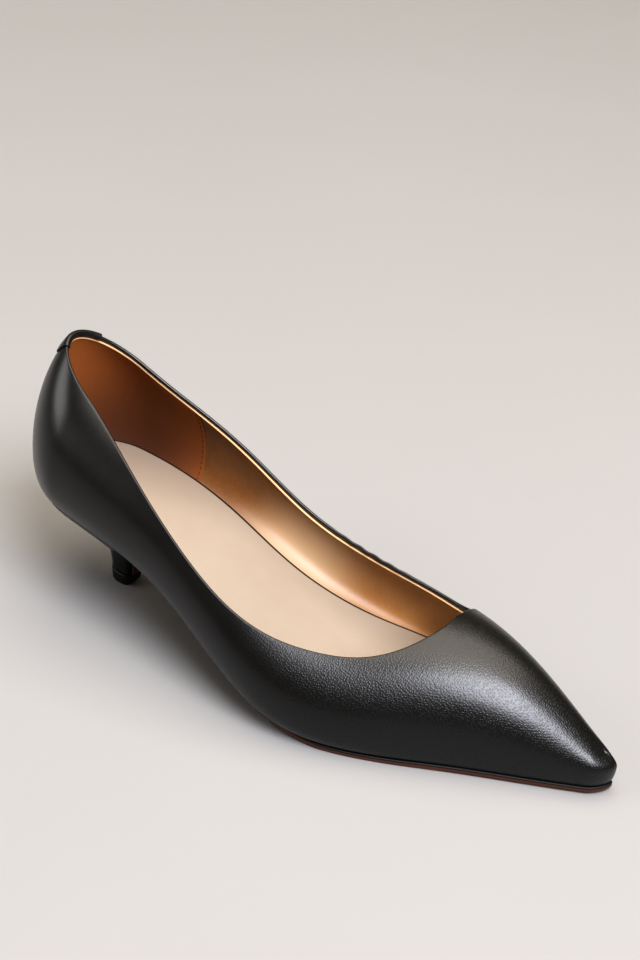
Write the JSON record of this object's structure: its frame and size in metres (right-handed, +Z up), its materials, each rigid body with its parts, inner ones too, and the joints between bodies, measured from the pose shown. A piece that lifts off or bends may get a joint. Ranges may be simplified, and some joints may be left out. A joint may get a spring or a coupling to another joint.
{
  "type": "kitten heel pump",
  "caption": "Pointed pump with a low slim heel, a smooth leather upper cut low over the vamp, a bare leather sock and a thin leather sole.",
  "frame": {"origin": "on the floor under the centre of the shoe's bounding box", "axes": "+X towards the toe, +Y towards the medial side, +Z up"},
  "size_m": [0.2594, 0.0928, 0.1037],
  "materials": {
    "upper_leather": "smooth nappa, satin, fine pebble grain",
    "sock_leather": "smooth, soft sheen",
    "sole_leather": "polished, black edge",
    "heel_cover": "smooth, satin",
    "top_piece_rubber": "matt"
  },
  "bodies": {
    "root": {"upper": "upper_leather", "back_tab": "upper_leather", "insole": "sock_leather", "outsole": "sole_leather", "heel": "heel_cover", "top_piece": "top_piece_rubber"}
  },
  "joints": []
}
